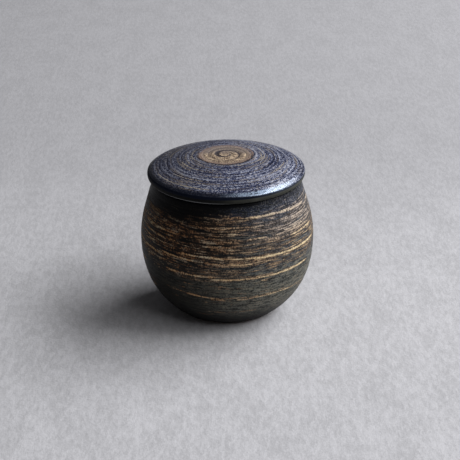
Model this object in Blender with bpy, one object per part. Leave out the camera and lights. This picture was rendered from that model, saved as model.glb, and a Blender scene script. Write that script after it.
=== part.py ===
"""Small lidded stoneware pot, thrown on a wheel.

A full-bellied pot stands on a trimmed foot ring. A loose domed lid lies on its lip, kept in place
by a flange that drops into the mouth. Metres, +Z up, origin at the centre of the foot's underside.
"""

import math

import bmesh
import bpy
from mathutils import Vector

# Turned surfaces
SEGMENTS = 56
ROUND_STEPS = 3
ROUND_SHARE = 0.55
ROOM_SHARE = 0.45
MERGE_DISTANCE = 0.00001

# Pot, outside
BELLY_RADIUS = 0.0450
BELLY_HEIGHT = 0.0400
LIP_RADIUS = 0.0378
LIP_HEIGHT = 0.0728
LIP_ROUND = 0.0013
UPPER_WALL_SHARES = (0.37, 0.51, 0.59)
LOWER_WALL_SHARES = (0.35, 0.13, 0.62)
UPPER_WALL_STEPS = 8
LOWER_WALL_STEPS = 10

# Pot, inside
WALL_THICKNESS = 0.0042
LIP_WIDTH = 0.0040
FLOOR_THICKNESS = 0.0050
BOWL_SHARES = (0.61, 0.84)
BOWL_STEPS = 26
MOUTH_STEPS = 12

# Trimmed foot
FOOT_RADIUS = 0.0235
FOOT_WIDTH = 0.0042
FOOT_HEIGHT = 0.0019
FOOT_RECESS = 0.0027
FOOT_DRAFT = 0.0005
FOOT_ROUND = 0.0004
FOOT_CROWN = 0.0004
HEEL_OVERHANG = 0.0030
HEEL_DROP = 0.0005
HEEL_ROUND = 0.0008
RECESS_STEPS = 3

# Lid
SEAT_GAP = 0.0003
LID_HEIGHT = 0.0116
LID_OVERHANG = 0.0014
LID_BULGE = 0.0012
LID_BULGE_HEIGHT = 0.0023
BROW_HEIGHT = 0.0039
BROW_INSET = 0.00035
BROW_ROLL = 0.0005
SHOULDER_HEIGHT = 0.0059
SHOULDER_WIDTH = 0.0038
ARRIS_ROUND = 0.0005
LID_THICKNESS = 0.0046
DOME_SHARES = (0.45, 0.72, 0.70)
SHOULDER_SHARE = 0.5
UNDERCUT_SHARE = 0.5
DOME_STEPS = 5
SHOULDER_STEPS = 3
BROW_STEPS = 3
UNDERCUT_STEPS = 2

# Flange under the lid
FLANGE_CLEARANCE = 0.0014
FLANGE_DEPTH = 0.0060
FLANGE_WIDTH = 0.0032
FLANGE_TAPER = 0.0005
FLANGE_ROUND = 0.0011
FLANGE_FILLET = 0.0006
ROOF_DROP = 0.0030
ROOF_FILLET = 0.0022
ROOF_SHARES = (0.45, 0.55)
ROOF_STEPS = 5

# The finger's spiral: a gentle one all the way up the inside, a tight one on the lid's crown
RING_PITCH = 0.0095
RING_DEPTH = 0.0004
RING_START_SHARE = 0.20
SWIRL_PITCH = 0.0040
SWIRL_DEPTH = 0.0004
SWIRL_START_SHARE = 0.68
SWIRL_REACH_SHARE = 0.30
SWIRL_STEPS = 13
FADE_IN_TURNS = 0.5
FADE_OUT_TURNS = 1.0


def clear_scene():
    for item in list(bpy.data.objects):
        bpy.data.objects.remove(item, do_unlink=True)


def point(radius, height):
    return Vector((radius, height))


def toward(start, target, distance):
    return start + (target - start).normalized() * distance


def curve(handles, steps, first_share=0.0, last_share=1.0):
    """Points of a Bezier run through its end handles, between two shares of its length."""
    points = []
    for step in range(steps + 1):
        share = first_share + (last_share - first_share) * step / steps
        row = list(handles)
        while len(row) > 1:
            row = [a.lerp(b, share) for a, b in zip(row, row[1:])]
        points.append(row[0])
    return points


def rounded(before, corner, after, size):
    """A corner of the outline, rounded from size before it to size past it."""
    start = toward(corner, before, size)
    end = toward(corner, after, size)
    return curve([start, start.lerp(corner, ROUND_SHARE), end.lerp(corner, ROUND_SHARE), end],
                 ROUND_STEPS)


def joined(*runs):
    """One outline from runs that meet end to end."""
    outline = []
    for run in runs:
        for place in run:
            if not outline or (place - outline[-1]).length > MERGE_DISTANCE:
                outline.append(place)
    return outline


def eased(share):
    share = min(max(share, 0.0), 1.0)
    return share * share * (3.0 - 2.0 * share)


def press_spiral(bm, reach_layer, run_length, pitch, depth, start_share):
    """Press one unbroken groove into the thrown run.

    It opens clockwise, seen from above, by one pitch a turn. It is measured along the surface from
    the axis and eases in and out, so that it leaves the axis and the end of the run alone.
    """
    for vert in bm.verts:
        reach = vert[reach_layer]
        if reach < run_length:
            turns = reach / pitch + math.atan2(vert.co.y, vert.co.x) / math.tau - start_share
            groove = (1.0 + math.cos(math.tau * turns)) / 2.0
            fade_in = eased(reach / (FADE_IN_TURNS * pitch))
            fade_out = eased((run_length - reach) / (FADE_OUT_TURNS * pitch))
            vert.co -= vert.normal * depth * groove * fade_in * fade_out


def turned(name, thrown, trimmed, material, pitch, depth, start_share):
    """A closed turned body. The thrown run starts on the axis and carries the finger's spiral, and
    the trimmed run goes on from its end, round the outside and back to the axis."""
    outline = joined(thrown, trimmed)
    reaches = [0.0]
    for before, after in zip(outline, outline[1:]):
        reaches.append(reaches[-1] + (after - before).length)
    run_length = reaches[len(thrown) - 1]

    bm = bmesh.new()
    reach_layer = bm.verts.layers.float.new("reach")
    verts = [bm.verts.new((place.x, 0.0, place.y)) for place in outline]
    for vert, reach in zip(verts, reaches):
        vert[reach_layer] = reach
    edges = [bm.edges.new(pair) for pair in zip(verts, verts[1:])]
    bmesh.ops.spin(bm, geom=verts + edges, axis=(0, 0, 1), cent=(0, 0, 0),
                   angle=math.tau, steps=SEGMENTS, use_merge=True, use_duplicate=False)
    bmesh.ops.remove_doubles(bm, verts=bm.verts, dist=MERGE_DISTANCE)
    bmesh.ops.recalc_face_normals(bm, faces=bm.faces)
    bm.normal_update()
    press_spiral(bm, reach_layer, run_length, pitch, depth, start_share)
    mesh = bpy.data.meshes.new(name)
    bm.to_mesh(mesh)
    bm.free()
    mesh.shade_smooth()
    mesh.set_sharp_from_angle(angle=math.radians(45))
    mesh.materials.append(material)
    body = bpy.data.objects.new(name, mesh)
    bpy.context.scene.collection.objects.link(body)
    return body


def glaze(name, color, roughness):
    material = bpy.data.materials.new(name)
    material.use_nodes = True
    shader = material.node_tree.nodes["Principled BSDF"]
    shader.inputs["Base Color"].default_value = (*color, 1.0)
    shader.inputs["Roughness"].default_value = roughness
    shader.inputs["Metallic"].default_value = 0.0
    return material


def upper_wall(belly_radius, lip_radius):
    """Handles of the wall from the belly up to the corner of the lip."""
    rise = LIP_HEIGHT - BELLY_HEIGHT
    low_share, width_share, high_share = UPPER_WALL_SHARES
    return [
        point(belly_radius, BELLY_HEIGHT),
        point(belly_radius, BELLY_HEIGHT + low_share * rise),
        point(lip_radius + width_share * (belly_radius - lip_radius), BELLY_HEIGHT + high_share * rise),
        point(lip_radius, LIP_HEIGHT),
    ]


def shortened(wall, size):
    """The wall's handles, ending where the rounding of its last corner begins."""
    return wall[:-1] + [toward(wall[-1], wall[-2], size)]


def make_pot():
    floor_height = FOOT_RECESS + FLOOR_THICKNESS
    inner_radius = BELLY_RADIUS - WALL_THICKNESS
    inner_wall = upper_wall(inner_radius, LIP_RADIUS - LIP_WIDTH)
    outer_wall = upper_wall(BELLY_RADIUS, LIP_RADIUS)
    lip_round = min(LIP_ROUND, ROOM_SHARE * LIP_WIDTH)
    bowl = [
        point(0.0, floor_height),
        point(BOWL_SHARES[0] * inner_radius, floor_height),
        point(inner_radius, BELLY_HEIGHT - BOWL_SHARES[1] * (BELLY_HEIGHT - floor_height)),
        inner_wall[0],
    ]
    thrown = joined(curve(bowl, BOWL_STEPS), curve(shortened(inner_wall, lip_round), MOUTH_STEPS))

    heel = point(FOOT_RADIUS + HEEL_OVERHANG, FOOT_HEIGHT - HEEL_DROP)
    spread = BELLY_RADIUS - heel.x
    rise = BELLY_HEIGHT - heel.y
    heel_handle = heel + point(LOWER_WALL_SHARES[0] * spread, LOWER_WALL_SHARES[1] * rise)
    lower_wall = [
        outer_wall[0],
        point(BELLY_RADIUS, BELLY_HEIGHT - LOWER_WALL_SHARES[2] * rise),
        heel_handle,
        heel,
    ]
    foot_root = point(FOOT_RADIUS, FOOT_HEIGHT)
    foot_outer = point(FOOT_RADIUS, 0.0)
    foot_inner = point(FOOT_RADIUS - FOOT_WIDTH, 0.0)
    recess_root = point(foot_inner.x - FOOT_DRAFT, FOOT_RECESS)
    recess_crown = point(0.0, FOOT_RECESS - FOOT_CROWN)
    recess_level = point(recess_root.x / 2.0, FOOT_RECESS - FOOT_CROWN)
    trimmed = joined(
        rounded(inner_wall[-2], inner_wall[-1], outer_wall[-1], lip_round),
        rounded(inner_wall[-1], outer_wall[-1], outer_wall[-2], lip_round),
        reversed(curve(shortened(outer_wall, lip_round), UPPER_WALL_STEPS)),
        curve(shortened(lower_wall, HEEL_ROUND), LOWER_WALL_STEPS),
        rounded(heel_handle, heel, foot_root, HEEL_ROUND),
        rounded(heel, foot_root, foot_outer, FOOT_ROUND),
        rounded(foot_root, foot_outer, foot_inner, FOOT_ROUND),
        rounded(foot_outer, foot_inner, recess_root, FOOT_ROUND),
        rounded(foot_inner, recess_root, recess_level, FOOT_ROUND),
        curve([toward(recess_root, recess_level, FOOT_ROUND), recess_level, recess_crown],
              RECESS_STEPS),
    )
    return turned("pot", thrown, trimmed, glaze("dark_brushed_glaze", (0.045, 0.040, 0.034), 0.55),
                  RING_PITCH, RING_DEPTH, RING_START_SHARE)


def make_lid():
    """The lid in its own frame, whose height zero is the face that lies on the lip."""
    arris = point(LIP_RADIUS + LID_OVERHANG, 0.0)
    widest = point(arris.x + LID_BULGE, LID_BULGE_HEIGHT)
    below = point(widest.x, UNDERCUT_SHARE * LID_BULGE_HEIGHT)
    brow = point(widest.x - BROW_INSET, BROW_HEIGHT)
    shoulder = point(widest.x - SHOULDER_WIDTH, SHOULDER_HEIGHT)
    dome_rise = LID_HEIGHT - SHOULDER_HEIGHT
    dome = [
        point(0.0, LID_HEIGHT),
        point(DOME_SHARES[0] * shoulder.x, LID_HEIGHT),
        point(DOME_SHARES[1] * shoulder.x, SHOULDER_HEIGHT + DOME_SHARES[2] * dome_rise),
        shoulder,
    ]
    sloped_edge = [
        shoulder,
        toward(shoulder, dome[-2], -SHOULDER_SHARE * SHOULDER_WIDTH),
        brow,
    ]
    thrown = curve(dome, SWIRL_STEPS, 0.0, SWIRL_REACH_SHARE)

    flange_root = point(LIP_RADIUS - LIP_WIDTH - FLANGE_CLEARANCE, 0.0)
    flange_outer = point(flange_root.x - FLANGE_TAPER, -FLANGE_DEPTH)
    flange_inner = point(flange_outer.x - FLANGE_WIDTH, -FLANGE_DEPTH)
    roof_height = LID_HEIGHT - LID_THICKNESS
    roof_root = point(flange_inner.x - FLANGE_TAPER, roof_height - ROOF_DROP)
    roof_level = point(ROOF_SHARES[0] * roof_root.x, roof_height)
    roof_slope = roof_root.lerp(roof_level, ROOF_SHARES[1])
    flange_round = min(FLANGE_ROUND, ROOM_SHARE * FLANGE_WIDTH)
    trimmed = joined(
        curve(dome, DOME_STEPS, SWIRL_REACH_SHARE, 1.0),
        curve(sloped_edge, SHOULDER_STEPS),
        curve([brow, point(widest.x, brow.y - BROW_ROLL), widest], BROW_STEPS),
        curve([widest, below, toward(arris, below, ARRIS_ROUND)], UNDERCUT_STEPS),
        rounded(below, arris, flange_root, ARRIS_ROUND),
        rounded(arris, flange_root, flange_outer, FLANGE_FILLET),
        rounded(flange_root, flange_outer, flange_inner, flange_round),
        rounded(flange_outer, flange_inner, roof_root, flange_round),
        rounded(flange_inner, roof_root, roof_slope, ROOF_FILLET),
        curve([toward(roof_root, roof_slope, ROOF_FILLET), roof_slope, roof_level,
               point(0.0, roof_height)], ROOF_STEPS),
    )
    lid = turned("lid", thrown, trimmed, glaze("blue_black_glaze", (0.030, 0.034, 0.055), 0.35),
                 SWIRL_PITCH, SWIRL_DEPTH, SWIRL_START_SHARE)
    lid.location.z = LIP_HEIGHT + SEAT_GAP
    return lid


clear_scene()
make_pot()
make_lid()
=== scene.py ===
import math
import random

import bmesh
import bpy
import numpy as np
from mathutils import Matrix, Vector, noise


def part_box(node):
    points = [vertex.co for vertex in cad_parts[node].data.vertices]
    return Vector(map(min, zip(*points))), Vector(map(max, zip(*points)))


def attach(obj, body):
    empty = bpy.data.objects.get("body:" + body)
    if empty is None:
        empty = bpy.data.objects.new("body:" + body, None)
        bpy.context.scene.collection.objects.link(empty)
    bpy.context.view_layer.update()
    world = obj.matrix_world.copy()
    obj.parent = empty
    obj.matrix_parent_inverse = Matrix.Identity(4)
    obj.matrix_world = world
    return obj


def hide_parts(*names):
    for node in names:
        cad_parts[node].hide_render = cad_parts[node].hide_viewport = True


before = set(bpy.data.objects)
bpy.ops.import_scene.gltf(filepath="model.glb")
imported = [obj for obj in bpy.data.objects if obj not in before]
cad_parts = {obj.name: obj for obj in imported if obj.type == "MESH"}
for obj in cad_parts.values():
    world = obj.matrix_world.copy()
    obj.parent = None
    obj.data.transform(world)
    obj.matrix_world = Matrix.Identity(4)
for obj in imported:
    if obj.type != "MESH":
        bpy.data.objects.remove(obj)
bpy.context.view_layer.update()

# The thrown pot.
# One piece of dark-glazed stoneware, thrown on the wheel, trimmed at the foot when leather-hard,
# and brushed with ochre slip while it went round. It stands on a ring of bare clay.
_, pot_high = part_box("pot")
BELLY_RADIUS = pot_high.x
LIP_HEIGHT = pot_high.z
BELLY_HEIGHT = 0.0400
LIP_RADIUS = 0.0378
LIP_WIDTH = 0.0040
LIP_ROUND = 0.0013
WALL = 0.0042
FLOOR_HEIGHT = 0.0077
FOOT_RADIUS = 0.0235
FOOT_WIDTH = 0.0042
FOOT_HEIGHT = 0.0019
FOOT_RECESS = 0.0027
FOOT_DRAFT = 0.0005
FOOT_CROWN = 0.0004
FOOT_ROUND = 0.0004
HEEL_RADIUS = 0.0265
HEEL_HEIGHT = 0.0014
HEEL_ROUND = 0.0008
# How far the curves' handles reach, as shares of the sizes that bound them.
UPPER_WALL_SHARES = (0.37, 0.51, 0.59)
LOWER_WALL_SHARES = (0.35, 0.13, 0.62)
BOWL_SHARES = (0.61, 0.84)
ROUND_SHARE = 0.55
# The spiral that the thrower's finger left inside.
RING_PITCH = 0.0095
RING_DEPTH = 0.0004
RING_START = 0.20
# How fine and deep the brush dragged the glaze outside, how far under the lip it begins, and the
# height at which it fades towards the foot.
DRAG_FINENESS = (18.0, 18.0, 420.0)
DRAG_DEPTH = 0.00010
DRAG_BEGINS = 0.004
DRAG_FADES = 0.008
# How far down the lip is wiped clean of glaze.
WIPED_DEPTH = 0.0002
# The longest edges of the mesh along the outline, and how many go round.
INSIDE_EDGE = 0.0015
LIP_EDGE = 0.0004
BRUSHED_EDGE = 0.00028
BRUSHED_SHARE = 0.35
LOW_EDGE = 0.0006
CORNER_EDGE = 0.0003
RECESS_EDGE = 0.0012
POT_SEGMENTS = 240
MERGE_DISTANCE = 0.00001


def at(radius, height):
    """A point of an outline."""
    return Vector((radius, height))


def toward(start, target, distance):
    """The point at a distance from start on its way to target."""
    return start + (target - start).normalized() * distance


def run(handles, spacing, first=0.0, last=1.0):
    """Points of a Bezier run through its end handles, between two shares of it."""
    length = sum((b - a).length for a, b in zip(handles, handles[1:])) * (last - first)
    steps = max(2, math.ceil(length / spacing))
    points = []
    for step in range(steps + 1):
        share = first + (last - first) * step / steps
        row = list(handles)
        while len(row) > 1:
            row = [a.lerp(b, share) for a, b in zip(row, row[1:])]
        points.append(row[0])
    return points


def rounded(before, corner, after, size, spacing):
    """A corner of an outline, rounded from size before it to size past it."""
    start = toward(corner, before, size)
    end = toward(corner, after, size)
    handles = [start, start.lerp(corner, ROUND_SHARE), end.lerp(corner, ROUND_SHARE), end]
    return run(handles, spacing)


def turned(name, runs, segments):
    """A closed body turned from runs of its outline. Each vertex keeps the number of its run and
    its distance along it."""
    shape = bmesh.new()
    run_layer = shape.verts.layers.int.new("run")
    reach_layer = shape.verts.layers.float.new("reach")
    verts = []
    for number, points in enumerate(runs):
        reach = 0.0
        for before, place in zip([points[0], *points], points):
            reach += (place - before).length
            spot = Vector((place.x, 0.0, place.y))
            if verts and (spot - verts[-1].co).length < MERGE_DISTANCE:
                continue
            vert = shape.verts.new(spot)
            vert[run_layer] = number
            vert[reach_layer] = reach
            verts.append(vert)
    edges = [shape.edges.new(pair) for pair in zip(verts, verts[1:])]
    bmesh.ops.spin(shape, geom=verts + edges, axis=(0, 0, 1), cent=(0, 0, 0), angle=math.tau,
                   steps=segments, use_merge=True, use_duplicate=False)
    bmesh.ops.remove_doubles(shape, verts=shape.verts, dist=MERGE_DISTANCE)
    bmesh.ops.recalc_face_normals(shape, faces=shape.faces)
    mesh = bpy.data.meshes.new(name)
    shape.to_mesh(mesh)
    shape.free()
    mesh.shade_smooth()
    piece = bpy.data.objects.new(name, mesh)
    bpy.context.scene.collection.objects.link(piece)
    return piece


def upper_wall(belly_radius, lip_radius):
    """Handles of the wall from the belly up to the corner of the lip."""
    rise = LIP_HEIGHT - BELLY_HEIGHT
    upright, out, up = UPPER_WALL_SHARES
    return [
        at(belly_radius, BELLY_HEIGHT),
        at(belly_radius, BELLY_HEIGHT + upright * rise),
        at(lip_radius + out * (belly_radius - lip_radius), BELLY_HEIGHT + up * rise),
        at(lip_radius, LIP_HEIGHT),
    ]


def shortened(wall, size):
    """A wall's handles with its end drawn back, to leave room for the rounding."""
    return wall[:-1] + [toward(wall[-1], wall[-2], size)]


inner_wall = upper_wall(BELLY_RADIUS - WALL, LIP_RADIUS - LIP_WIDTH)
outer_wall = upper_wall(BELLY_RADIUS, LIP_RADIUS)
bowl_level, bowl_upright = BOWL_SHARES
bowl = [
    at(0.0, FLOOR_HEIGHT),
    at(bowl_level * inner_wall[0].x, FLOOR_HEIGHT),
    at(inner_wall[0].x, BELLY_HEIGHT - bowl_upright * (BELLY_HEIGHT - FLOOR_HEIGHT)),
    inner_wall[0],
]
heel_out, heel_up, belly_down = LOWER_WALL_SHARES
belly_drop = BELLY_HEIGHT - HEEL_HEIGHT
heel = at(HEEL_RADIUS, HEEL_HEIGHT)
heel_handle = heel + at(heel_out * (BELLY_RADIUS - HEEL_RADIUS), heel_up * belly_drop)
lower_wall = [
    outer_wall[0],
    at(BELLY_RADIUS, BELLY_HEIGHT - belly_down * belly_drop),
    heel_handle,
    heel,
]
foot_root = at(FOOT_RADIUS, FOOT_HEIGHT)
foot_outer = at(FOOT_RADIUS, 0.0)
foot_inner = at(FOOT_RADIUS - FOOT_WIDTH, 0.0)
recess_root = at(foot_inner.x - FOOT_DRAFT, FOOT_RECESS)
recess_level = at(recess_root.x / 2, FOOT_RECESS - FOOT_CROWN)
inside = run(bowl, INSIDE_EDGE) + run(shortened(inner_wall, LIP_ROUND), INSIDE_EDGE)
lip = (rounded(inner_wall[-2], inner_wall[-1], outer_wall[-1], LIP_ROUND, LIP_EDGE)
       + rounded(inner_wall[-1], outer_wall[-1], outer_wall[-2], LIP_ROUND, LIP_EDGE))
outside = (run(shortened(outer_wall, LIP_ROUND), BRUSHED_EDGE)[::-1]
           + run(shortened(lower_wall, HEEL_ROUND), BRUSHED_EDGE, 0.0, BRUSHED_SHARE)
           + run(shortened(lower_wall, HEEL_ROUND), LOW_EDGE, BRUSHED_SHARE, 1.0))
foot = (rounded(heel_handle, heel, foot_root, HEEL_ROUND, CORNER_EDGE)
        + rounded(heel, foot_root, foot_outer, FOOT_ROUND, CORNER_EDGE)
        + rounded(foot_root, foot_outer, foot_inner, FOOT_ROUND, CORNER_EDGE)
        + rounded(foot_outer, foot_inner, recess_root, FOOT_ROUND, CORNER_EDGE)
        + rounded(foot_inner, recess_root, recess_level, FOOT_ROUND, CORNER_EDGE)
        + run([toward(recess_root, recess_level, FOOT_ROUND), recess_level,
               at(0.0, recess_level.y)], RECESS_EDGE))
pot = turned("thrown_pot", [inside, lip, outside, foot], POT_SEGMENTS)
INSIDE, LIP, OUTSIDE, FOOT = range(4)


def column(source, name, width=1, kind=np.float64):
    """What each item of a mesh's list holds under a name, in a row of its own where it is wide."""
    values = np.zeros(len(source) * width, kind)
    source.foreach_get(name, values)
    return values.reshape(-1, width) if width > 1 else values


def measured(piece):
    """Each vertex of a piece: its place, its normal, its run's number and how far along it is."""
    mesh = piece.data
    return (column(mesh.vertices, "co", 3), column(mesh.vertices, "normal", 3),
            column(mesh.attributes["run"].data, "value", kind=np.int32),
            column(mesh.attributes["reach"].data, "value"))


def press_in(piece, place, normal, depth):
    """Presses each vertex of a piece in along its normal, and gives the new places."""
    place = place - normal * depth[:, None]
    piece.data.vertices.foreach_set("co", place.ravel())
    piece.data.update()
    return place


def mark(piece, name, values):
    """Marks each vertex with a number under a name, for the piece's material to read."""
    layer = piece.data.attributes.new(name, "FLOAT", "POINT")
    layer.data.foreach_set("value", values.astype(float))


def smooth(low, high, value):
    """0 at low, 1 at high and smooth between; high may be the lower of the two."""
    share = np.clip((value - low) / (high - low), 0.0, 1.0)
    return share * share * (3.0 - 2.0 * share)


def spiral(place, reach, pitch, depth, start, fades, ends):
    """How deep a finger's spiral is pressed at each place. It opens clockwise seen from above and
    runs out between two distances along the outline."""
    turns = reach / pitch + np.arctan2(place[:, 1], place[:, 0]) / math.tau - start
    groove = (1.0 + np.cos(math.tau * turns)) / 2.0
    return depth * groove * smooth(0.0, pitch / 2, reach) * smooth(ends, fades, reach)


def rough(place, fineness):
    """Cloudy noise from -1 to 1 at each place, its fineness given along each axis."""
    return np.array([noise.fractal(Vector(spot), 1.0, 2.0, 3) for spot in place * fineness])


MILLIMETRES = 1000.0
# Brushed slip: height in mm, half width, bearing from the front in degrees, half span, rise over
# that half span, and strength. Positive bearings are to the right.
MAIN_STROKES = (
    (66.0, 0.7, 3, 8, 0.1, 0.70),
    (65.3, 0.8, 27, 12, -0.2, 1.00),
    (64.1, 0.8, 54, 19, -0.9, 0.95),
    (60.5, 0.5, 56, 18, -0.5, 0.85),
    (58.1, 0.4, 34, 14, 0.0, 0.70),
    (57.0, 0.5, -38, 7, 0.0, 0.60),
    (56.5, 0.6, -16, 9, -0.2, 0.70),
    (55.2, 0.6, 20, 8, -0.1, 0.90),
    (55.4, 0.5, 56, 17, -0.4, 0.85),
    (53.0, 0.4, 38, 14, 0.0, 0.70),
    (52.0, 0.6, 60, 16, -0.2, 1.00),
    (49.0, 0.4, -42, 15, -1.5, 0.75),
    (46.9, 0.7, -20, 15, -0.1, 0.95),
    (46.1, 0.6, 4, 18, -0.5, 1.00),
    (44.9, 0.8, 44, 34, -0.8, 1.20),
    (44.4, 0.8, -30, 20, -0.7, 0.95),
    (43.0, 0.7, 2, 18, -0.4, 0.90),
    (42.0, 0.5, 8, 14, 0.0, 0.55),
    (41.2, 0.5, 33, 10, 0.0, 0.70),
    (41.1, 0.5, 60, 14, -0.2, 0.65),
    (36.4, 0.9, -33, 12, -0.2, 0.90),
    (36.2, 0.8, -16, 9, -0.1, 1.05),
    (34.8, 0.7, 3, 15, -0.1, 1.10),
    (34.6, 0.7, 38, 28, -0.3, 1.10),
    (35.7, 0.3, 34, 18, -0.1, 0.70),
    (32.7, 0.5, 24, 3, 0.0, 0.85),
    (29.3, 0.5, 7, 3, 0.0, 0.60),
    (25.2, 0.3, -33, 14, -0.7, 0.80),
    (23.9, 0.4, -17, 14, -0.7, 1.00),
    (22.6, 0.5, -7, 6, 0.0, 0.95),
    (22.5, 0.4, 11, 6, 0.0, 0.95),
    (22.9, 0.4, 30, 17, 0.1, 1.00),
    (24.0, 0.3, 34, 12, 0.1, 0.70),
    (22.4, 0.4, 52, 14, -0.3, 0.90),
    (20.6, 0.3, -12, 9, 0.0, 0.60),
    (13.7, 0.35, 3, 24, 0.0, 0.80),
)
# Where the main strokes come again round the back, in degrees on from the front.
BACK_TURNS = (125, 235)
# Strokes of single bristles, all round the pot: lowest and highest in mm, how many, longest half
# span in degrees, and strongest.
BRISTLE_STROKES = (
    (46.5, 66.0, 240, 20, 0.80),
    (46.5, 65.5, 60, 45, 0.85),
    (37.0, 47.0, 90, 24, 0.70),
    (8.0, 37.0, 90, 12, 0.60),
    (16.0, 34.0, 60, 22, 0.85),
)


def brushed(place, level, strokes):
    """Slip laid at each place, from 0 for none to about 1 for a full stroke. A stroke goes round
    near its own level, soft at both sides, and runs out at both ends."""
    laid = np.zeros(len(place))
    bearing = np.degrees(np.arctan2(place[:, 0], -place[:, 1]))
    for stroke_level, width, middle, span, rise, strength in strokes:
        along = ((bearing - middle + 180.0) % 360.0 - 180.0) / span
        across = (level - stroke_level - rise * along) / width
        shape = np.exp(-across ** 2) * smooth(1.3, 0.6, np.abs(along))
        laid = np.maximum(laid, strength * shape)
    return laid


def back_strokes(chance):
    """The main strokes again round the back, each shifted by up to 1.2 mm and 12 degrees and with
    a length and strength of its own."""
    return [(height + chance.uniform(-1.2, 1.2), width, middle + turn + chance.uniform(-12, 12),
             span * chance.uniform(0.8, 1.3), rise, strength * chance.uniform(0.7, 1.0))
            for turn in BACK_TURNS for height, width, middle, span, rise, strength in MAIN_STROKES]


def bristle_strokes(chance, low, high, count, longest, strongest):
    """Thin strokes strewn over a band, all round the pot."""
    return [(chance.uniform(low, high), chance.uniform(0.25, 0.45), chance.uniform(-180, 180),
             chance.uniform(3, longest), chance.uniform(-0.5, 0.1), chance.uniform(0.25, strongest))
            for _ in range(count)]


# The main strokes in front and round the back, and the single bristles' over them.
chance = random.Random(5)
strokes = [*MAIN_STROKES, *back_strokes(chance)]
for row in BRISTLE_STROKES:
    strokes += bristle_strokes(chance, *row)
place, normal, run_number, reach = measured(pot)
inner = run_number == INSIDE
outer = run_number == OUTSIDE
slip = np.zeros(len(place))
slip[outer] = brushed(place[outer], place[outer][:, 2] * MILLIMETRES, strokes)
mark(pot, "slip", slip)
mark(pot, "lined", inner)
# The flat top of the lip and the foot are bare clay.
seat = (run_number == LIP) & (place[:, 2] > LIP_HEIGHT - WIPED_DEPTH)
mark(pot, "wiped", seat | (run_number == FOOT))

# The finger's rings are pressed in inside. The brush dragged the glaze outside, less under slip.
press = np.zeros(len(place))
length = reach[inner].max()
press[inner] = spiral(place[inner], reach[inner], RING_PITCH, RING_DEPTH, RING_START,
                      length - RING_PITCH, length)
drag = rough(place[outer], np.array(DRAG_FINENESS))
height = place[outer][:, 2]
fade = smooth(0.0, DRAG_BEGINS, reach[outer]) * smooth(HEEL_HEIGHT, DRAG_FADES, height)
press[outer] = fade * DRAG_DEPTH * (1.0 - 0.5 * drag - 0.5 * slip[outer])
press_in(pot, place, normal, press)


class Wire:
    """A shader socket. Arithmetic on it adds Math nodes, and node() puts in any other node."""

    # The sockets of a Mix node that mixes colours.
    MIX_SHARE, MIX_UNDER, MIX_OVER, MIX_RESULT = 0, 6, 7, 2

    def __init__(self, tree, socket=None):
        self.tree = tree
        self.socket = socket

    def node(self, kind, settings=None, sockets=None, output=0):
        """Adds a node: its settings or stops first, then the values or wires of its sockets."""
        made = self.tree.nodes.new(kind)
        for name, value in (settings or {}).items():
            if name == "stops":
                ramp = made.color_ramp
                while len(ramp.elements) < len(value):
                    ramp.elements.new(1.0)
                for element, (position, shade) in zip(ramp.elements, value):
                    element.position = position
                    element.color = shade
            else:
                setattr(made, name, value)
        for name, value in (sockets or {}).items():
            if isinstance(value, Wire):
                value.feed(made, name)
            else:
                made.inputs[name].default_value = value
        return Wire(self.tree, made.outputs[output])

    def feed(self, node, name):
        self.tree.links.new(self.socket, node.inputs[name])

    def maths(self, operation, *values):
        return self.node("ShaderNodeMath", {"operation": operation}, dict(enumerate(values)))

    def __add__(self, other):
        return self.maths("ADD", self, other)

    def __sub__(self, other):
        return self.maths("SUBTRACT", self, other)

    def __rsub__(self, other):
        return self.maths("SUBTRACT", other, self)

    def __mul__(self, other):
        return self.maths("MULTIPLY", self, other)

    __radd__ = __add__
    __rmul__ = __mul__

    def root(self):
        return self.maths("SQRT", self)

    def sine(self):
        return self.maths("SINE", self)

    def larger(self, other):
        return self.maths("MAXIMUM", self, other)

    def smaller(self, other):
        return self.maths("MINIMUM", self, other)

    def step(self, low, high):
        """0 below low, 1 above high and smooth between; high may be the lower of the two."""
        return self.node("ShaderNodeMapRange", {"interpolation_type": "SMOOTHSTEP"},
                         {"Value": self, "From Min": low, "From Max": high})

    def ramp(self, stops):
        return self.node("ShaderNodeValToRGB", {"stops": stops}, {"Fac": self})

    def cloud(self, fineness, detail=2.0, roughness=0.5):
        """Noise at this place, its fineness in waves to a millimetre."""
        return self.node("ShaderNodeTexNoise", sockets={"Vector": self, "Scale": fineness,
                                                        "Detail": detail, "Roughness": roughness})

    def swing(self, weight):
        """Noise swung round zero, times a weight."""
        return (self - 0.5) * weight

    def tint(self, under, over):
        """One colour laid over another, with this wire as how much."""
        return self.node("ShaderNodeMix", {"data_type": "RGBA"},
                         {self.MIX_SHARE: self, self.MIX_UNDER: under, self.MIX_OVER: over},
                         self.MIX_RESULT)


def color(red, green, blue):
    return (red, green, blue, 1.0)


def grey(level):
    return color(level, level, level)


def new_material(name):
    """A new material: a wire to start nodes from, the place in millimetres, and the shader."""
    material = bpy.data.materials.new(name)
    material.use_nodes = True
    start = Wire(material.node_tree)
    metres = start.node("ShaderNodeTexCoord", output="Object")
    millimetres = start.node("ShaderNodeVectorMath", {"operation": "SCALE"},
                             {0: metres, "Scale": MILLIMETRES})
    return material, start, millimetres, material.node_tree.nodes["Principled BSDF"]


def finish_material(start, shader, base, roughness, bumps, strength, depth):
    """Wires a finish into the shader, with its bumps as one height."""
    base.feed(shader, "Base Color")
    roughness.feed(shader, "Roughness")
    bump = start.node("ShaderNodeBump", sockets={"Strength": strength, "Distance": depth,
                                                 "Height": bumps})
    bump.feed(shader, "Normal")


def split(wire):
    parts = wire.node("ShaderNodeSeparateXYZ", sockets={0: wire})
    return [Wire(wire.tree, output) for output in parts.socket.node.outputs]


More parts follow.
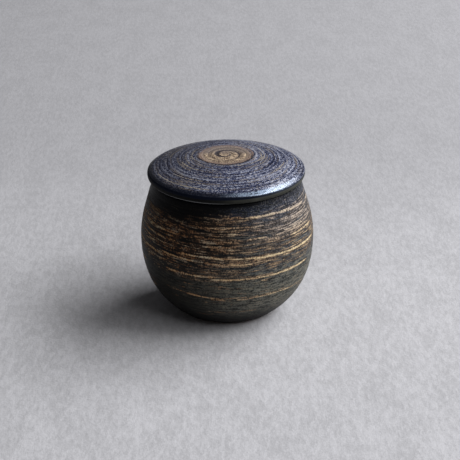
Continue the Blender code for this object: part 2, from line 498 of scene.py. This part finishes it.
def marked(start, name):
    """What was marked on a piece's vertices under a name."""
    return start.node("ShaderNodeAttribute", {"attribute_name": name}, output="Fac")


def lining_glaze(grain):
    """The colour of the dark glaze inside, which is glossier in the pot."""
    return grain.step(0.4, 0.65).tint(color(0.026, 0.026, 0.029), color(0.062, 0.060, 0.056))


def bare_clay(grain):
    """Fired clay that was wiped clean of glaze."""
    return grain.step(0.3, 0.7).tint(color(0.10, 0.060, 0.038), color(0.19, 0.12, 0.08))


BUMP_STRENGTH = 0.7
BUMP_DEPTH = 0.00025
# How thickly the loose slip lies, by height as a share of this many millimetres.
COVER_TOP = 73.0
COVER = (
    (0.00, grey(0.02)),
    (0.26, grey(0.08)),
    (0.34, grey(0.14)),
    (0.44, grey(0.16)),
    (0.50, grey(0.30)),
    (0.56, grey(0.36)),
    (0.66, grey(0.44)),
    (0.86, grey(0.42)),
    (0.90, grey(0.28)),
    (0.97, grey(0.06)),
)
# Slip from thin to thick: rusty with ashen streaks on the shaded side, cream on the lit side; the
# change between them is painted light.
RUSTY_SLIP = (
    (0.42, color(0.044, 0.017, 0.007)),
    (0.60, color(0.155, 0.060, 0.022)),
    (0.80, color(0.36, 0.155, 0.055)),
    (1.00, color(0.50, 0.28, 0.120)),
)
ASHEN_SLIP = (
    (0.42, color(0.036, 0.030, 0.025)),
    (0.60, color(0.105, 0.086, 0.070)),
    (0.80, color(0.24, 0.20, 0.155)),
    (1.00, color(0.44, 0.36, 0.26)),
)
LIT_CREAM_SLIP = (
    (0.42, color(0.095, 0.064, 0.044)),
    (0.60, color(0.27, 0.185, 0.120)),
    (0.80, color(0.58, 0.42, 0.26)),
    (1.00, color(0.95, 0.75, 0.45)),
)
GOLDEN_SLIP = color(0.50, 0.38, 0.21)
SLIP_SHEEN = color(0.60, 0.53, 0.49)
DARK_GLAZE = color(0.046, 0.049, 0.054)
LIT_GREY_GLAZE = color(0.085, 0.094, 0.112)
BLUE_NECK = color(0.038, 0.048, 0.080)
OLIVE_LOW = color(0.180, 0.178, 0.150)
NECK_SHEEN = color(0.17, 0.160, 0.165)
LID_SHADE_COLOR = color(0.004, 0.005, 0.009)
LID_SHADOW_BLACK = color(0.002, 0.002, 0.003)
DARK_GRAIN = color(0.012, 0.013, 0.013)
DARK_FLECK = color(0.016, 0.017, 0.017)
PALE_FLECK = color(0.25, 0.225, 0.165)
PALE_SPECK = color(0.26, 0.25, 0.22)
SHADED_VEIL = color(0.026, 0.016, 0.010)
LIT_VEIL = color(0.11, 0.076, 0.052)
PIT = color(0.010, 0.009, 0.009)
SHADE_BLACK = grey(0.004)
NECK_SHADE_BLACK = grey(0.003)

material, start, spot, shader = new_material("brushed_glaze")
# Millimetres to the right, to the back and up from the middle of the foot.
x, y, z = split(spot)
# The brush's way round the pot, which rises and wavers a little.
level = z + x * 0.035 + spot.cloud(0.035, 1.0).swing(3.0)


def streaked(across, along):
    """Noise drawn out round the pot: its fineness across the brush's way and along it."""
    place = start.node("ShaderNodeCombineXYZ", sockets={0: x * along, 1: y * along,
                                                        2: level * across})
    return place.cloud(1.0, 2.0, 0.55)


thread = streaked(1.35, 0.06)
dash = streaked(0.85, 0.17)
band = streaked(0.28, 0.03)
fleck = streaked(1.4, 0.22)
blot = streaked(0.50, 0.22)
grain = spot.cloud(1.15, 2.0, 0.6)
speck = spot.cloud(1.9, 1.0)
patch = spot.cloud(0.09, 2.0)
stroke_laid = marked(start, "slip")
lined = marked(start, "lined")
wiped = marked(start, "wiped")
# Painted light: 0 on the shaded left side, 1 on the lit right; many colours below are darkened or
# lightened by it.
painted_light = (x + patch.swing(16.0) + dash.swing(12.0)).step(-44.0, 40.0)

# The slip: the loose cover of the whole brush, with the single strokes over it.
cover = (z * (1.0 / COVER_TOP)).ramp(COVER)
loose = (cover
         + thread.swing(1.2 + painted_light * 0.7)
         + fleck.swing(0.9)
         + band.swing(0.5)
         + grain.swing(0.8 - painted_light * 0.5)
         + speck.swing(0.6 - painted_light * 0.4)
         + blot.swing(0.9 - painted_light * 0.8)
         - painted_light * z.step(44.0, 50.0) * 0.05)
stroke = (stroke_laid + dash.swing(0.5) + fleck.swing(0.6) + grain.swing(0.9) + thread.swing(0.5))
amount = loose.larger(stroke)
slip_mask = amount.step(0.42, 0.62)
ashen = (blot + thread).step(1.02, 1.20)
rusty = ashen.tint(amount.ramp(RUSTY_SLIP), amount.ramp(ASHEN_SLIP))
# Painted light: the slip is rusty on the shaded side and cream on the lit side.
slip_color = painted_light.tint(rusty, amount.ramp(LIT_CREAM_SLIP))
golden = x.step(-18.0, -40.0) * amount.step(0.55, 0.85)
slip_color = (golden * 0.6).tint(slip_color, GOLDEN_SLIP)
# Painted sheen: a pale chalky haze over the slip, high up on the lit side.
painted_slip_sheen = z.step(50.0, 58.0) * painted_light.step(0.6, 1.0)
slip_color = (painted_slip_sheen * 0.5).tint(slip_color, SLIP_SHEEN)

# The glaze under it: olive low down, in the middle dark on the shaded side and painted a lighter
# grey on the lit side, blue at the neck.
ground = painted_light.step(0.5, 1.0).tint(DARK_GLAZE, LIT_GREY_GLAZE)
base = z.step(60.0, 67.0).tint(ground, BLUE_NECK)
base = z.step(26.0, 44.0).tint(OLIVE_LOW, base)
# Painted sheen: a pale grey mottle on the neck on the lit side.
painted_neck_sheen = grain.step(0.46, 0.60) * z.step(60.0, 65.0) * painted_light.step(0.5, 1.0)
base = (painted_neck_sheen * 0.7).tint(base, NECK_SHEEN)
# Painted shade of the lid over the band under it, deepest on the shaded side.
painted_lid_shade = z.step(67.5, 71.0) * (1.0 - painted_light * 0.5)
base = painted_lid_shade.tint(base, LID_SHADE_COLOR)
base = (grain.step(0.54, 0.42) * 0.40).tint(base, DARK_GRAIN)
base = (fleck.step(0.48, 0.41) * 0.75).tint(base, DARK_FLECK)
pale_fleck = fleck.step(0.53, 0.62) * z.step(64.0, 50.0)
base = (pale_fleck * 0.75).tint(base, PALE_FLECK)
base = (speck.step(0.60, 0.68) * 0.5).tint(base, PALE_SPECK)
# Painted shade: the shaded left side goes nearly black, more so high and low.
shade_ends = z.step(40.0, 52.0) * 0.6 + z.step(36.0, 16.0) * 0.20
painted_shade_side = painted_light.step(0.95, 0.0) + shade_ends * painted_light.step(0.85, 0.40)
base = (painted_shade_side * 0.8).smaller(0.92).tint(base, SHADE_BLACK)
# A brown veil over the glaze, its colour painted darker on the shaded side and paler on the lit
# side.
veil = (cover + band.swing(1.0) + dash.swing(0.8) + thread.swing(0.8)).step(0.22, 0.50)
base = (veil * 0.4).tint(base, painted_light.tint(SHADED_VEIL, LIT_VEIL))

# The slip on the glaze, then the painted shade at the neck and heel, the painted shadow under the
# lid and the pits over both, and the bare clay last.
slip_color = (speck.step(0.52, 0.38) * 0.6).tint(slip_color, base)
glazed = slip_mask.tint(base, slip_color)
# Painted shade: the neck goes black on the shaded side.
painted_neck_shade = z.step(57.0, 66.0) * painted_light.step(0.60, 0.25)
glazed = (painted_neck_shade * 0.85).tint(glazed, NECK_SHADE_BLACK)
# Painted shadow: a black line under the lid's edge, except on the lit side.
painted_lid_shadow = z.step(70.4, 71.3) * painted_light.step(0.92, 0.72)
glazed = (painted_lid_shadow * 0.9).tint(glazed, LID_SHADOW_BLACK)
pitted = (grain + speck.swing(0.6)).step(0.46, 0.36)
glazed = (pitted * 0.55).tint(glazed, PIT)
# Painted shade: the low wall goes black towards the foot.
painted_heel_shade = z.step(17.0, 5.0)
glazed = (painted_heel_shade * 0.95).tint(glazed, SHADE_BLACK)
glazed = lined.tint(glazed, lining_glaze(grain))
low_clay = (z + patch.swing(1.2) + grain.swing(0.6)).step(1.5, 1.0)
bare = (wiped + grain.swing(0.4)).step(0.4, 0.6).larger(low_clay)
final = bare.tint(glazed, bare_clay(grain))
roughness = 0.46 + slip_mask * 0.2 + grain.swing(0.3) + bare * 0.3
relief = thread * 0.5 + fleck * 0.4 + grain * 0.4 + slip_mask * 0.5
finish_material(start, shader, final, roughness, relief, BUMP_STRENGTH, BUMP_DEPTH)
# The lining is glossier than the glaze outside.
(lined * (1.0 - bare) * 0.6).feed(shader, "Coat Weight")
shader.inputs["Coat Roughness"].default_value = 0.18
shader.inputs["Specular IOR Level"].default_value = 0.06
pot.data.materials.append(material)

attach(pot, "pot")
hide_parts("pot")

# The lid.
# A second thrown piece, domed and rolled at its edge, hollow underneath, with a flange that drops
# into the mouth. A spiral was drawn in its crown with a finger and brushed with ochre slip.
lid_low, lid_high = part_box("lid")
LID_EDGE = lid_high.x
SEAT_GAP = 0.0003
SEAT = LIP_HEIGHT + SEAT_GAP
CROWN = lid_high.z - SEAT
DOME_SHARES = (0.45, 0.72, 0.70)
BULGE = 0.0012
BULGE_HEIGHT = 0.0023
BROW_HEIGHT = 0.0039
BROW_INSET = 0.00035
BROW_ROLL = 0.0005
SHOULDER_HEIGHT = 0.0059
SHOULDER_WIDTH = 0.0038
SHOULDER_SHARE = 0.62
ARRIS_ROUND = 0.0005
FLANGE_RADIUS = 0.0324
FLANGE_DEPTH = SEAT - lid_low.z
FLANGE_WIDTH = 0.0032
FLANGE_TAPER = 0.0005
FLANGE_ROUND = 0.0011
FLANGE_FILLET = 0.0006
LID_THICKNESS = 0.0046
ROOF_DROP = 0.0030
ROOF_FILLET = 0.0022
ROOF_SHARES = (0.45, 0.55)
# Where the flange is wiped clean of glaze, along the outline of the underside.
WIPED_FROM = (0.0006, 0.0012)
WIPED_UNTIL = (0.0135, 0.0125)
# The finger's spiral on the crown with where it runs out, and the comb's rings round it.
SWIRL_PITCH = 0.0040
SWIRL_DEPTH = 0.0004
SWIRL_START = 0.68
SWIRL_FADE = (0.0095, 0.0135)
COMB_WAVES = 2600.0
COMB_DEPTH = 0.00003
COMB_FADE = (0.012, 0.018)
# The longest edges of the mesh along the outline, and how many go round.
CROWN_EDGE = 0.00032
BROW_EDGE = 0.00025
ARRIS_EDGE = 0.0002
FILLET_EDGE = 0.0005
ROOF_EDGE = 0.0010
LID_SEGMENTS = 240

arris = at(LID_EDGE - BULGE, 0.0)
widest = at(LID_EDGE, BULGE_HEIGHT)
below = at(LID_EDGE, BULGE_HEIGHT / 2)
brow = at(LID_EDGE - BROW_INSET, BROW_HEIGHT)
brow_roll = at(LID_EDGE, BROW_HEIGHT - BROW_ROLL)
shoulder = at(LID_EDGE - SHOULDER_WIDTH, SHOULDER_HEIGHT)
crown_level, dome_out, dome_up = DOME_SHARES
dome = [
    at(0.0, CROWN),
    at(crown_level * shoulder.x, CROWN),
    at(dome_out * shoulder.x, SHOULDER_HEIGHT + dome_up * (CROWN - SHOULDER_HEIGHT)),
    shoulder,
]
slope = [shoulder, toward(shoulder, dome[-2], -SHOULDER_SHARE * SHOULDER_WIDTH), brow]
flange_root = at(FLANGE_RADIUS, 0.0)
flange_outer = at(FLANGE_RADIUS - FLANGE_TAPER, -FLANGE_DEPTH)
flange_inner = at(flange_outer.x - FLANGE_WIDTH, -FLANGE_DEPTH)
roof = CROWN - LID_THICKNESS
roof_out, roof_up = ROOF_SHARES
roof_root = at(flange_inner.x - FLANGE_TAPER, roof - ROOF_DROP)
roof_level = at(roof_out * roof_root.x, roof)
roof_slope = roof_root.lerp(roof_level, roof_up)
top = run(dome, CROWN_EDGE)
edge = (run(slope, CORNER_EDGE)
        + run([brow, brow_roll, widest], BROW_EDGE)
        + run([widest, below, toward(arris, below, ARRIS_ROUND)], CORNER_EDGE)
        + rounded(below, arris, flange_root, ARRIS_ROUND, ARRIS_EDGE))
under = (rounded(arris, flange_root, flange_outer, FLANGE_FILLET, CORNER_EDGE)
         + rounded(flange_root, flange_outer, flange_inner, FLANGE_ROUND, CORNER_EDGE)
         + rounded(flange_outer, flange_inner, roof_root, FLANGE_ROUND, CORNER_EDGE)
         + rounded(flange_inner, roof_root, roof_slope, ROOF_FILLET, FILLET_EDGE)
         + run([toward(roof_root, roof_slope, ROOF_FILLET), roof_slope, roof_level, at(0.0, roof)],
               ROOF_EDGE))
lid = turned("domed_lid", [top, edge, under], LID_SEGMENTS)
lid.data.transform(Matrix.Translation((0.0, 0.0, SEAT)))
TOP, _, UNDER = range(3)

# Arcs of slip on the crown: radius in mm where the arc is in the middle, half width, bearing of the
# middle, half span, outward drift over that half span, and strength.
CROWN_ARCS = (
    (15.9, 0.4, -45, 50, -1.5, 0.85),
    (17.0, 0.4, 45, 50, 2.7, 0.85),
    (19.6, 0.4, 94, 34, 0.3, 0.90),
    (18.2, 0.3, 84, 30, 0.4, 0.85),
    (20.9, 0.3, 78, 30, 0.3, 0.70),
    (17.4, 0.4, -104, 34, 0.0, 0.75),
    (17.0, 0.4, -160, 34, 0.0, 0.60),
    (17.8, 0.4, 152, 34, 0.0, 0.60),
    (22.8, 0.4, -55, 30, -0.4, 0.75),
    (24.6, 0.3, -70, 26, 0.0, 0.60),
    (22.6, 0.4, 62, 34, 0.3, 0.65),
    (26.4, 0.4, -20, 30, 0.3, 0.55),
    (29.6, 0.6, 66, 22, 0.3, 0.75),
    (31.0, 0.5, 74, 18, 0.4, 0.70),
    (30.8, 0.4, -38, 24, -0.5, 0.80),
    (33.4, 0.4, 10, 30, 0.3, 0.60),
    (36.1, 0.5, -42, 34, -0.4, 0.85),
    (37.2, 0.5, -8, 22, 0.2, 0.80),
    (35.6, 0.4, 34, 20, 0.2, 0.60),
)
THIN_ARCS = 200
# The dark line drawn in the swirl: degrees gone round clockwise from the right, radius in mm and
# half width in mm.
SWIRL_LINE = (
    (-90, 1.0, 0.30),
    (0, 2.1, 0.40),
    (90, 3.2, 0.45),
    (150, 4.2, 0.90),
    (190, 4.7, 1.40),
    (230, 5.2, 1.20),
    (270, 5.6, 0.80),
    (330, 6.3, 0.60),
    (390, 7.2, 0.35),
    (480, 8.2, 0.20),
    (570, 9.2, 0.45),
    (630, 9.8, 0.55),
    (690, 10.4, 0.40),
    (750, 11.0, 0.15),
)
SWIRL_TURNS = (0.0, 360.0, 720.0)


def off_axis(place):
    """Millimetres from the axis."""
    return np.hypot(place[:, 0], place[:, 1]) * MILLIMETRES


def swirl_line(place):
    """How dark the swirl's line is at each place, from 0 to 1."""
    degrees, radii, widths = zip(*SWIRL_LINE)
    radius = off_axis(place)
    around = -np.degrees(np.arctan2(place[:, 1], place[:, 0]))
    drawn = np.zeros(len(place))
    for turn in SWIRL_TURNS:
        gone = around + turn
        across = (radius - np.interp(gone, degrees, radii)) / np.interp(gone, degrees, widths)
        within = (gone > degrees[0]) & (gone < degrees[-1])
        drawn = np.maximum(drawn, within * np.exp(-across ** 2))
    return drawn


# The arcs in front, fainter ones opposite them, and thin ones all round outside the disc.
chance = random.Random(11)
arcs = [*CROWN_ARCS]
for middle_radius, width, middle, span, drift, strength in CROWN_ARCS:
    arcs.append((middle_radius + chance.uniform(-1.0, 1.0), width, middle + 180, span,
                 drift, 0.8 * strength))
for _ in range(THIN_ARCS):
    arcs.append((chance.uniform(19, 38), chance.uniform(0.2, 0.4), chance.uniform(-180, 180),
                 chance.uniform(6, 40), chance.uniform(-0.6, 0.6), chance.uniform(0.2, 0.55)))

place, normal, run_number, reach = measured(lid)
crown = run_number == TOP
underside = run_number == UNDER
slip = np.zeros(len(place))
slip[crown] = brushed(place[crown], off_axis(place[crown]), arcs)
mark(lid, "slip", slip)
mark(lid, "lined", underside)
mark(lid, "wiped", underside * smooth(*WIPED_FROM, reach) * smooth(*WIPED_UNTIL, reach))

# The swirl and the comb's rings are pressed into the crown, and the line is drawn on top of that.
press = np.zeros(len(place))
press[crown] = spiral(place[crown], reach[crown], SWIRL_PITCH, SWIRL_DEPTH, SWIRL_START,
                      *SWIRL_FADE)
comb_teeth = 1.0 - np.sin(reach[crown] * COMB_WAVES)
press[crown] += COMB_DEPTH * smooth(*COMB_FADE, reach[crown]) * comb_teeth
place = press_in(lid, place, normal, press)
swirl = np.zeros(len(place))
swirl[crown] = swirl_line(place[crown])
mark(lid, "swirl", swirl)

# Blue glaze from its dark pits to its pale crystals.
BLUE_GLAZE = (
    (0.34, color(0.006, 0.009, 0.030)),
    (0.48, color(0.040, 0.048, 0.098)),
    (0.58, color(0.115, 0.130, 0.220)),
    (0.74, color(0.42, 0.43, 0.50)),
)
SHADED_BLUE = color(0.036, 0.033, 0.036)
TAN_RING = color(0.20, 0.165, 0.140)
EDGE_SHADE = color(0.008, 0.010, 0.022)
CREST_HIGHLIGHT = color(0.30, 0.37, 0.48)
CREST_PIT = color(0.008, 0.010, 0.018)
SHADED_ROLL = color(0.004, 0.006, 0.014)
LIT_ROLL = color(0.034, 0.040, 0.056)
LIT_OLIVE_SIDE = color(0.085, 0.086, 0.072)
SIDE_RIPPLE = grey(0.006)
SIDE_ARRIS = color(0.23, 0.235, 0.235)
THIN_GOLD = color(0.110, 0.070, 0.052)
THICK_GOLD = color(0.68, 0.52, 0.36)
GOLD_LINE = color(0.115, 0.085, 0.075)
GOLD_BACK = color(0.19, 0.160, 0.155)
PINK_RIM = color(0.38, 0.29, 0.25)
BROWN_RIM = color(0.22, 0.145, 0.12)
ARC_SLIP = color(0.33, 0.285, 0.235)
DISC_GAP = color(0.008, 0.008, 0.014)
DISC_RING = color(0.26, 0.235, 0.225)
DRAWN_LINE = color(0.024, 0.024, 0.036)

material, start, spot, shader = new_material("lid_glaze")
x, y, z = split(spot)
from_axis = (x * x + y * y).root()


def ringed(across, along):
    """Noise drawn out in rings: its fineness across the rings and along them."""
    place = start.node("ShaderNodeCombineXYZ", sockets={0: x * along, 1: y * along,
                                                        2: from_axis * across})
    return place.cloud(1.0, 2.0, 0.65)


ripple = ringed(0.55, 0.03)
line = ringed(0.85, 0.05)
dash = ringed(2.0, 0.60)
grain = spot.cloud(1.25, 2.0, 0.6)
speck = spot.cloud(1.9, 1.0)
patch = spot.cloud(0.12, 2.0)
arc_laid = marked(start, "slip")
swirl_laid = marked(start, "swirl")
lined = marked(start, "lined")
wiped = marked(start, "wiped")
# Painted light, as on the pot: 0 on the shaded left side, 1 on the lit right.
painted_light = (x + patch.swing(16.0)).step(-44.0, 40.0)
# The top, the roll under its edge, painted dark as shade, and the upright side below that.
on_top = (z + x.step(0.0, 25.0) * 0.7).step(77.0, 77.5)
over_side = z.step(75.5, 75.9)

# The blue of the top, painted a little lighter on the lit side and darker and browner on the shaded
# side.
comb = from_axis * 3.3 + ripple.swing(7.0)
tone = (0.50
        + comb.sine() * 0.06
        + dash.swing(1.0)
        + grain.swing(0.9)
        + speck.swing(0.9)
        + ripple.swing(0.9)
        + painted_light.swing(0.05))
base = (painted_light.step(0.65, 0.05) * 0.45).tint(tone.ramp(BLUE_GLAZE), SHADED_BLUE)
tan_ring = (line + grain.swing(0.6)).step(0.54, 0.66)
base = (tan_ring * 0.6).tint(base, TAN_RING)
# Painted shade: the edge in front and to the left goes dark navy.
painted_edge_shade = x.step(14.0, -4.0) * from_axis.step(37.4, 38.8)
base = (painted_edge_shade * 0.85).tint(base, EDGE_SHADE)
# Painted highlight: a pale blue crest along the rolled edge in front and to the right, partly the
# glaze breaking pale over the edge, partly painted highlight.
painted_crest_highlight = ((from_axis + grain.swing(1.0)).step(37.8, 38.5)
         * (x + line.swing(10.0)).step(-5.0, 10.0)
         * x.step(38.0, 24.0))
base = (painted_crest_highlight * (speck + 0.3)).tint(base, CREST_HIGHLIGHT)
pits = speck.step(0.46, 0.38)
base = (pits * from_axis.step(36.5, 37.5) * 0.8).tint(base, CREST_PIT)

# The roll and the side, both with painted shade: dark on the shaded left, paler and olive where lit
# on the right.
painted_roll = painted_light.step(0.75, 1.0).tint(SHADED_ROLL, LIT_ROLL)
base = on_top.tint(painted_roll, base)
side = painted_light.step(0.35, 1.0).tint(SHADE_BLACK, LIT_OLIVE_SIDE)
side = (ripple.step(0.6, 0.4) * 0.4).tint(side, SIDE_RIPPLE)
pale_arris = z.step(74.2, 73.4) * painted_light.step(0.65, 0.35)
side = (pale_arris * 0.8).tint(side, SIDE_ARRIS)
base = over_side.tint(side, base)

# The disc of ochre slip on the crown, ragged at its edge, and the arcs round it.
ragged = line.swing(4.0 + x.step(2.0, 10.0) * 8.0) + grain.swing(4.5)
disc = (from_axis + patch.swing(2.0) + ragged).step(14.3, 13.3)
gold = (grain + speck.swing(1.0)).step(0.38, 0.64).tint(THIN_GOLD, THICK_GOLD)
gold = (line.step(0.54, 0.42) * 0.55).tint(gold, GOLD_LINE)
gold = (y.step(-2.0, 6.0) * 0.7).tint(gold, GOLD_BACK)
pink_rim = (from_axis.step(10.8, 11.6) * from_axis.step(13.0, 12.4)
            * (speck + line - 0.5).step(0.44, 0.54))
gold = (pink_rim * 0.7).tint(gold, PINK_RIM)
gold = (from_axis.step(11.6, 13.2) * 0.6).tint(gold, BROWN_RIM)
broken_arc = arc_laid + line.swing(0.8) + grain.swing(1.4) + speck.swing(0.6)
arc_mask = broken_arc.step(0.45, 0.80) * on_top
glazed = arc_mask.tint(base, ARC_SLIP)
glazed = (disc * on_top).tint(glazed, gold)
disc_edge = from_axis + patch.swing(2.0) + grain.swing(1.5)
gap = disc_edge.step(13.4, 13.9) * disc_edge.step(14.9, 14.4) * y.step(4.0, -6.0)
glazed = (gap * 0.85).tint(glazed, DISC_GAP)
ring = (disc_edge.step(14.6, 15.1) * disc_edge.step(16.2, 15.6)
        * (line + grain - 0.5).step(0.44, 0.56))
glazed = (ring * 0.5).tint(glazed, DISC_RING)
drawn = (swirl_laid + grain.swing(0.5)).step(0.28, 0.60) * (0.85 - from_axis.step(7.0, 8.5) * 0.4)
glazed = (drawn * disc).tint(glazed, DRAWN_LINE)

glazed = lined.tint(glazed, lining_glaze(grain))
bare = (wiped + grain.swing(0.4)).step(0.4, 0.6)
final = bare.tint(glazed, bare_clay(grain))
roughness = (0.38 + disc * 0.2 + arc_mask * 0.1 + grain.swing(0.3) + (1.0 - on_top) * 0.24
             + bare * 0.3)
relief = ripple * 0.5 + grain * 0.6 + arc_mask * 0.3 + disc * 0.3
finish_material(start, shader, final, roughness, relief, BUMP_STRENGTH, BUMP_DEPTH)
# The blue glaze has a faint metallic lustre, strongest along the rolled edge.
sheen = (on_top * (1.0 - lined) * (1.0 - arc_mask * 0.5)
         * (from_axis.step(36.4, 38.8) * 0.75 + 0.25)
         * (1.0 - pits * 0.5) * (1.0 - x.step(20.0, 38.0) * 0.25) * 0.45)
sheen.feed(shader, "Coat Weight")
sheen.feed(shader, "Metallic")
shader.inputs["Coat Roughness"].default_value = 0.14
shader.inputs["Coat IOR"].default_value = 1.8
shader.inputs["Specular IOR Level"].default_value = 0.07
lid.data.materials.append(material)

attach(lid, "lid")
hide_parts("lid")

# The surface it stands on.
# Pale grey felted paper, flat far past the frame, with painted shade that makes it a little darker
# towards the back.
SHEET_RADIUS = 1.5
PAPER_SHADE = color(0.485, 0.474, 0.488)
PAPER_PALE = color(0.605, 0.591, 0.610)
PAPER_FALLOFF_SHADE = color(0.31, 0.302, 0.315)
FELT_STRENGTH = 0.5
FELT_DEPTH = 0.0008

sheet = bmesh.new()
bmesh.ops.create_circle(sheet, cap_ends=True, segments=96, radius=SHEET_RADIUS)
mesh = bpy.data.meshes.new("floor")
sheet.to_mesh(mesh)
sheet.free()
floor = bpy.data.objects.new("floor", mesh)
bpy.context.scene.collection.objects.link(floor)
material, start, spot, shader = new_material("grey_paper")
x, y, z = split(spot)
drawn_out = spot.node("ShaderNodeVectorMath", {"operation": "MULTIPLY"},
                      {0: spot, 1: (1.0, 0.45, 1.0)})
cloudy = drawn_out.cloud(0.06, 3.0, 0.6)
clump = drawn_out.cloud(0.32, 2.0, 0.6)
fibre = spot.cloud(0.7, 3.0, 0.65)
mottle = (cloudy * 0.3 + clump * 0.4 + fibre * 0.3).step(0.38, 0.62)
paper = mottle.tint(PAPER_SHADE, PAPER_PALE)
# Painted shade: less light falls on the paper towards the back.
paper = (y.step(0.0, 260.0) * 0.45).tint(paper, PAPER_FALLOFF_SHADE)
felt = fibre * 0.5 + clump * 0.7
finish_material(start, shader, paper, 0.9 + fibre.swing(0.1), felt, FELT_STRENGTH, FELT_DEPTH)
floor.data.materials.append(material)

# Light.
# One large soft lamp to the right and a little behind, a weaker one to the right in front, and
# little light from the room.
LAMP_DISTANCE = 2.4
LAMP_COLOR = (0.96, 0.98, 1.0)
ROOM_LIGHT = 0.05
ROOM_SEEN = 0.45
ROOM_MIRRORED = 0.02


def soft_lamp(name, bearing, height, width, depth, power):
    """A lamp that faces the pot, its bearing from the front and its height in degrees."""
    lamp = bpy.data.lights.new(name, "AREA")
    lamp.shape = "RECTANGLE"
    lamp.size = width
    lamp.size_y = depth
    lamp.energy = power
    lamp.color = LAMP_COLOR
    placed = bpy.data.objects.new(name, lamp)
    bpy.context.scene.collection.objects.link(placed)
    turn = math.radians(bearing)
    tilt = math.radians(height)
    toward_lamp = Vector((math.sin(turn) * math.cos(tilt), -math.cos(turn) * math.cos(tilt),
                          math.sin(tilt)))
    placed.location = toward_lamp * LAMP_DISTANCE
    placed.rotation_euler = toward_lamp.to_track_quat("Z", "Y").to_euler()


soft_lamp("key", bearing=106.0, height=46.0, width=2.6, depth=1.3, power=76.0)
soft_lamp("fill", bearing=52.0, height=40.0, width=2.0, depth=0.9, power=17.5)

world = bpy.data.worlds.new("room")
bpy.context.scene.world = world
world.use_nodes = True
room = Wire(world.node_tree)
seen = room.node("ShaderNodeLightPath", output="Is Camera Ray")
mirrored = room.node("ShaderNodeLightPath", output="Is Glossy Ray")
background = world.node_tree.nodes["Background"]
(seen * ROOM_SEEN + mirrored * ROOM_MIRRORED + ROOM_LIGHT).feed(background, "Strength")
background.inputs["Color"].default_value = color(1.0, 1.0, 1.03)

# Camera.
# It stands where the photograph was taken from: a long lens, a little above the pot, tilted by a
# degree.
CAMERA_HEIGHT = math.radians(24.04)
CAMERA_DISTANCE = 0.700
CAMERA_ROLL = math.radians(-0.96)
FRAME_PIXELS = 460.0
LENS_PIXELS = 1339.8
SENSOR = 36.0
MIDDLE = Vector((0.0, 0.0, 0.04165))
AIM_PIXELS = (227.15, 230.77)
backward = Vector((0.0, -math.cos(CAMERA_HEIGHT), math.sin(CAMERA_HEIGHT)))
camera_data = bpy.data.cameras.new("camera")
camera_data.sensor_width = SENSOR
camera_data.lens = LENS_PIXELS * SENSOR / FRAME_PIXELS
camera = bpy.data.objects.new("camera", camera_data)
bpy.context.scene.collection.objects.link(camera)
camera.location = MIDDLE + backward * CAMERA_DISTANCE
across = math.atan((FRAME_PIXELS / 2 - AIM_PIXELS[0]) / LENS_PIXELS)
down = math.atan((AIM_PIXELS[1] - FRAME_PIXELS / 2) / LENS_PIXELS)
turn = backward.to_track_quat("Z", "Y").to_matrix()
turn = turn @ Matrix.Rotation(-across, 3, "Y") @ Matrix.Rotation(down, 3, "X")
turn = turn @ Matrix.Rotation(CAMERA_ROLL, 3, "Z")
camera.rotation_euler = turn.to_euler()
bpy.context.scene.camera = camera
bpy.context.scene.view_settings.view_transform = "Standard"
